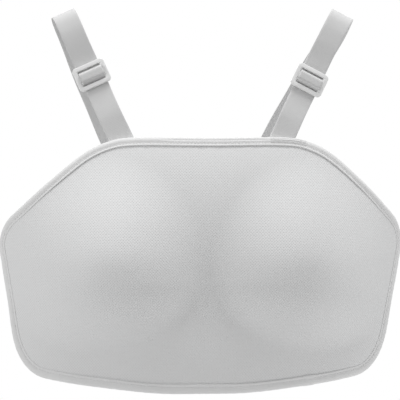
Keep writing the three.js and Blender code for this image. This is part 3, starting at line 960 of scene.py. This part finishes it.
def front_tack_lines(strap):
    """Rows sewn through the tape's front to hold a strap's foot behind it."""
    stations = edge_stations(TAPE_STATIONS)
    foot = strap["foot"] * HALF_WIDTH
    here = (np.abs(stations["edge_across"] - foot) < FRONT_TACK_REACH) & (stations["edge_height"] > 0)
    lines = []
    for inset in FRONT_TACKS:
        raised = TAPE_RADIUS * math.cos(math.asin(max(-inset, 0.0) / TAPE_RADIUS)) - EDGE_WALL / 2
        raised += FRONT_TACK_PROUD if inset > 0 else 0.0
        line = stations["edge"] - stations["out"] * inset + stations["face"] * raised
        lines.append((line[here], False))
    return lines


def strap_tack_lines(strap):
    """Rows across a strap that sew its foot to the guard and its tail to the band."""
    samples = strap_samples(strap)
    length = path_length(samples)
    rows = [(distance, -1) for distance in FOOT_TACKS] + [(length - distance, 1) for distance in TAIL_TACKS]
    places = np.array([distance for distance, _ in rows])
    centre, _, width, out = strap_frames(strap, samples, places)
    across = np.linspace(-0.5, 0.5, TACK_POINTS) * WEBBING_WIDTH * TACK_SHARE
    lines = []
    for index, (_, side) in enumerate(rows):
        surface = centre[index] + out[index] * side * WEBBING_WALL / 2
        lines.append((surface + width[index] * across[:, None], False))
    return lines


# Materials

# Woven finishes: the threads' pitch across and along a piece, the depth of their relief, and how dark the
# painted shade in the gaps between the threads is
TAPE_WEAVE = dict(shade=0.86, roughness=0.85, across=0.7 * MM, along=0.7 * MM, depth=0.08 * MM,
                  gap_painted_shade=0.08, sheen=0.15)
WEBBING_WEAVE = dict(shade=0.72, roughness=0.8, across=1.1 * MM, along=1.6 * MM, depth=0.12 * MM,
                     gap_painted_shade=0.12, sheen=0.1)
ELASTIC_WEAVE = dict(shade=0.78, roughness=0.85, across=1.0 * MM, along=0.8 * MM, depth=0.2 * MM,
                     gap_painted_shade=0.12, sheen=0.1)
CLOTH_GLOSS = dict(Sheen_Roughness=0.5, Specular_IOR_Level=0.3)
THREAD_RELIEF = 0.8
GAP_SOFTNESS = 0.6
# The slanted lattice of holes in the mesh cloth
MESH_PITCH = 2.05 * MM
HOLE_DEPTH = 0.25 * MM
HOLE_RELIEF = 0.6
# The flow mark in the moulded plastic
FLOW_DEPTH = 0.06 * MM
FLOW_RELIEF = 0.3
# How much of a tone's darkening is slow drift and how much is flecks, and what it adds to roughness
DRIFT_SHARE = 1.3
FLECK_SHARE = 0.7
ROUGHER = 0.8


def new_group(name, inputs, outputs):
    """A shader group. Each input has a name, a kind and a value, and each output a name and a kind."""
    group = bpy.data.node_groups.new(name, "ShaderNodeTree")
    for label, kind, value in inputs:
        socket = group.interface.new_socket(label, in_out="INPUT", socket_type="NodeSocket" + kind)
        socket.default_value = value
    for label, kind in outputs:
        group.interface.new_socket(label, in_out="OUTPUT", socket_type="NodeSocket" + kind)
    return group, group.nodes.new("NodeGroupInput").outputs, group.nodes.new("NodeGroupOutput")


def shader_node(tree, kind, **values):
    node = tree.nodes.new("ShaderNode" + kind)
    set_inputs(node, **values)
    return node


def maths(tree, operation, *values):
    node = shader_node(tree, "Math")
    node.operation = operation
    for socket, value in zip(node.inputs, values):
        feed(socket, value)
    return node.outputs[0]


def weave_group():
    """Plain weave: threads that pass over and under each other, at a pitch each way."""
    group, given, made = new_group(
        "thread_weave",
        [("Vector", "Vector", (0, 0, 0)), ("Across pitch", "Float", MM), ("Along pitch", "Float", MM)],
        [("Height", "Float"), ("Gaps", "Float")])
    split = shader_node(group, "SeparateXYZ", Vector=given["Vector"])
    counts = []
    threads = []
    for axis, pitch in (("X", "Across pitch"), ("Y", "Along pitch")):
        count = maths(group, "DIVIDE", split.outputs[axis], given[pitch])
        wave = maths(group, "SINE", maths(group, "MULTIPLY", count, math.pi))
        counts.append(maths(group, "FLOOR", count))
        threads.append(maths(group, "ABSOLUTE", wave))
    over = maths(group, "PINGPONG", maths(group, "ADD", *counts), 1.0)
    warp = maths(group, "MULTIPLY", threads[0], over)
    weft = maths(group, "MULTIPLY", threads[1], maths(group, "SUBTRACT", 1.0, over))
    tops = maths(group, "ADD", warp, weft)
    total = maths(group, "ADD", maths(group, "MULTIPLY", *threads), tops)
    height = maths(group, "MULTIPLY", total, 0.5)
    # Where the threads dip: the mask that the tone group darkens with painted shade
    gaps = maths(group, "SUBTRACT", 1.0, maths(group, "POWER", height, GAP_SOFTNESS))
    set_inputs(made, Height=height, Gaps=gaps)
    return group


def tone_group():
    """Slow drift of shade and roughness over a cloth, with finer flecks in it. It also darkens the gaps
    between threads, or a mesh's holes, with painted shade.
    """
    group, given, made = new_group(
        "tone_drift",
        [("Vector", "Vector", (0, 0, 0)), ("Colour", "Color", grey(0.8)), ("Darkening", "Float", 0.06),
         ("Drift scale", "Float", 14.0), ("Fleck scale", "Float", 500.0), ("Roughness", "Float", 0.85),
         ("Gaps", "Float", 0.0), ("Gap shade", "Float", 0.1)],
        [("Colour", "Color"), ("Roughness", "Float")])
    parts = []
    for label, share in (("Drift scale", DRIFT_SHARE), ("Fleck scale", FLECK_SHARE)):
        noise = shader_node(group, "TexNoise", Vector=given["Vector"], Scale=given[label], Detail=3.0)
        parts.append(maths(group, "MULTIPLY", noise.outputs["Fac"], share))
    drift = maths(group, "MULTIPLY", maths(group, "ADD", *parts), given["Darkening"])
    # Painted shade in the gaps between threads and in a mesh's holes, from the gap shade value
    hollow = maths(group, "MULTIPLY", given["Gaps"], given["Gap shade"])
    shade = maths(group, "SUBTRACT", 1.0, maths(group, "ADD", drift, hollow))
    scale = shader_node(group, "VectorMath")
    scale.operation = "SCALE"
    feed(scale.inputs[0], given["Colour"])
    set_inputs(scale, Scale=shade)
    rough = maths(group, "ADD", given["Roughness"], maths(group, "MULTIPLY", drift, ROUGHER))
    set_inputs(made, Colour=scale.outputs["Vector"], Roughness=rough)
    return group


def place_group(tree, group, **values):
    node = shader_node(tree, "Group")
    node.node_tree = group
    set_inputs(node, **values)
    return node.outputs


def grey(value, warmth=0.0):
    return (value + warmth, value, value - warmth, 1.0)


def new_material(name):
    material = bpy.data.materials.new(name)
    material.use_nodes = True
    tree = material.node_tree
    return material, tree, tree.nodes["Principled BSDF"]


def tone_into(tree, shader, groups, **values):
    """Colour and roughness with the tone group's drift. Gives the place on the piece that it reads."""
    place = shader_node(tree, "TexCoord").outputs["Object"]
    tone = place_group(tree, groups["tone"], Vector=place, **values)
    set_inputs(shader, Base_Color=tone["Colour"], Roughness=tone["Roughness"])
    return place


def bump_into(tree, shader, height, distance, strength):
    bump = shader_node(tree, "Bump", Height=height, Distance=distance, Strength=strength)
    set_inputs(shader, Normal=bump.outputs["Normal"])


def cloth_lie(tree):
    """The place on a piece along its own threads."""
    lie = shader_node(tree, "UVMap")
    lie.uv_map = "lie"
    return lie.outputs["UV"]


def woven_material(name, groups, shade, roughness, across, along, depth, gap_painted_shade, sheen):
    """Woven cloth whose threads follow the piece's own lie."""
    material, tree, shader = new_material(name)
    threads = place_group(tree, groups["weave"], Vector=cloth_lie(tree), Across_pitch=across,
                          Along_pitch=along)
    # The gaps between the threads are darkened with painted shade
    tone_into(tree, shader, groups, Colour=grey(shade), Roughness=roughness, Gaps=threads["Gaps"],
              Gap_shade=gap_painted_shade)
    set_inputs(shader, Sheen_Weight=sheen, **CLOTH_GLOSS)
    bump_into(tree, shader, threads["Height"], depth, THREAD_RELIEF)
    return material


def mesh_cloth(groups):
    """White mesh cloth: a close lattice of small holes, set on the slant, with painted shade in the holes."""
    material, tree, shader = new_material("guard_cloth")
    split = shader_node(tree, "SeparateXYZ", Vector=cloth_lie(tree)).outputs
    turn = 2 * math.pi / (MESH_PITCH * math.sqrt(2))
    waves = []
    for way in ("ADD", "SUBTRACT"):
        slant = maths(tree, way, split["X"], split["Y"])
        waves.append(maths(tree, "COSINE", maths(tree, "MULTIPLY", slant, turn)))
    lattice = shader_node(tree, "MapRange", Value=maths(tree, "ADD", *waves), From_Min=0.2, From_Max=1.7)
    lattice.interpolation_type = "SMOOTHSTEP"
    holes = lattice.outputs["Result"]
    # The holes get painted shade in their colour, as well as their dent in the bump
    tone_into(tree, shader, groups, Colour=grey(0.80, -0.002), Roughness=0.88, Gaps=holes, Gap_shade=0.09,
              Darkening=0.03)
    set_inputs(shader, Sheen_Weight=0.12, **CLOTH_GLOSS)
    bump_into(tree, shader, maths(tree, "SUBTRACT", 1.0, holes), HOLE_DEPTH, HOLE_RELIEF)
    return material


def moulded_plastic(groups):
    """White moulded plastic with a satin gloss and a very faint flow mark."""
    material, tree, shader = new_material("slider_plastic")
    place = tone_into(tree, shader, groups, Colour=grey(0.88), Roughness=0.3, Darkening=0.03,
                      Drift_scale=60.0, Fleck_scale=900.0)
    noise = shader_node(tree, "TexNoise", Vector=place, Scale=700.0)
    set_inputs(shader, Coat_Weight=0.2, Coat_Roughness=0.2)
    bump_into(tree, shader, noise.outputs["Fac"], FLOW_DEPTH, FLOW_RELIEF)
    return material


def finish_piece(piece, material, slot, *nodes):
    piece.data.materials.clear()
    piece.data.materials.append(material)
    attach(piece, "root")
    if nodes:
        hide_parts(*nodes)


# Stage, light and camera

CAMERA_TURN = math.radians(4.4)
CAMERA_DOWN = math.radians(2.0)
CAMERA_DISTANCE = 2200 * MM
CAMERA_AIM = Vector((0.0, 45 * MM, 65 * MM))
CAMERA_ASIDE = 4.2 * MM
VIEW_WIDTH = 400 * MM
FLOOR_LEVEL = -1.4
FLOOR_RADIUS = 3.0
FLOOR_SIDES = 64
ROOM_LIGHT = 0.385
# Soft lamps round the guard: turn is from straight in front towards the right, rise above level, in
# degrees. The rest is in metres and watts.
LAMPS = table(
    ("name", "turn", "rise", "distance", "width", "height", "power"),
    ("top_softbox", 90, 84, 2.2, 0.9, 0.9, 37.4),
    ("left_softbox", -70, 9, 2.2, 0.8, 0.8, 16.1),
    ("right_softbox", 70, 18, 2.2, 0.8, 0.8, 7.3),
    ("right_low_softbox", 70, -40, 1.6, 0.7, 0.6, 4.3),
    ("back_softbox", 180, 20, 2.4, 2.0, 2.0, 30.0),
)


def stand_off(holder, turn, rise, distance):
    """Stand the camera or a lamp off from the point aimed at, and face it there."""
    way = Vector((math.sin(turn) * math.cos(rise), -math.cos(turn) * math.cos(rise), math.sin(rise)))
    holder.location = CAMERA_AIM + way * distance
    holder.rotation_euler = (-way).to_track_quat("-Z", "Y").to_euler()


def set_camera():
    data = bpy.data.cameras.new("camera")
    data.sensor_fit = "HORIZONTAL"
    data.angle = 2 * math.atan(VIEW_WIDTH / 2 / CAMERA_DISTANCE)
    camera = new_object("camera", data)
    stand_off(camera, -CAMERA_TURN, CAMERA_DOWN, CAMERA_DISTANCE)
    camera.location -= Vector((math.cos(CAMERA_TURN), -math.sin(CAMERA_TURN), 0.0)) * CAMERA_ASIDE
    bpy.context.scene.camera = camera


def soft_lamp(lamp):
    data = bpy.data.lights.new(lamp["name"], "AREA")
    data.shape = "RECTANGLE"
    data.size = lamp["width"]
    data.size_y = lamp["height"]
    data.energy = lamp["power"]
    holder = new_object(lamp["name"], data)
    stand_off(holder, math.radians(lamp["turn"]), math.radians(lamp["rise"]), lamp["distance"])
    holder.visible_camera = False


def set_world(strength):
    """Even light from all round, in front of a white ground."""
    world = bpy.data.worlds.new("studio")
    bpy.context.scene.world = world
    world.use_nodes = True
    tree = world.node_tree
    tree.nodes.clear()
    soft = shader_node(tree, "Background", Color=(1, 1, 1, 1), Strength=strength)
    white = shader_node(tree, "Background", Color=(1, 1, 1, 1))
    ray = shader_node(tree, "LightPath")
    mix = shader_node(tree, "MixShader")
    out = shader_node(tree, "OutputWorld")
    join(tree, (ray, "Is Camera Ray", mix, "Fac"), (soft, 0, mix, 1), (white, 0, mix, 2),
         (mix, 0, out, "Surface"))


def set_floor():
    turns = [2 * math.pi * k / FLOOR_SIDES for k in range(FLOOR_SIDES)]
    points = [(FLOOR_RADIUS * math.cos(turn), FLOOR_RADIUS * math.sin(turn), FLOOR_LEVEL) for turn in turns]
    mesh = bpy.data.meshes.new("floor")
    mesh.from_pydata(points, [], [tuple(range(FLOOR_SIDES))])
    material, _, shader = new_material("floor_paint")
    set_inputs(shader, Base_Color=grey(0.82), Roughness=0.9)
    mesh.materials.append(material)
    new_object("floor", mesh)


set_camera()
set_world(ROOM_LIGHT)
set_floor()
for lamp in LAMPS:
    soft_lamp(lamp)
bpy.context.scene.view_settings.view_transform = "Standard"

GROUPS = dict(weave=weave_group(), tone=tone_group())
cloth = mesh_cloth(GROUPS)
tape = woven_material("binding_tape", GROUPS, **TAPE_WEAVE)
webbing = woven_material("webbing", GROUPS, **WEBBING_WEAVE)
elastic = woven_material("band_elastic", GROUPS, **ELASTIC_WEAVE)
plastic = moulded_plastic(GROUPS)

guard = guard_shell()
finish_piece(guard, cloth, "guard_cloth", "chest_panel")
finish_piece(bound_edge(), tape, "binding_tape", "edge_binding")
for strap in STRAPS:
    finish_piece(strap_webbing(strap), webbing, "webbing", f"shoulder_strap_{strap['name']}")
    finish_piece(strap_slider(strap), plastic, "slider_plastic", f"slider_{strap['name']}")
finish_piece(rear_band(), elastic, "band_elastic", "back_band")

STITCHES = stitch_tree()
seams = edge_stitch_lines()
finish_piece(stitches("edge_stitching", STITCHES, seams, tape, STITCH_PITCH), tape, "binding_tape")
tacks = front_tack_lines(STRAPS[1]) + [line for strap in STRAPS for line in strap_tack_lines(strap)]
finish_piece(stitches("strap_tacks", STITCHES, tacks, tape, TACK_PITCH), tape, "binding_tape")
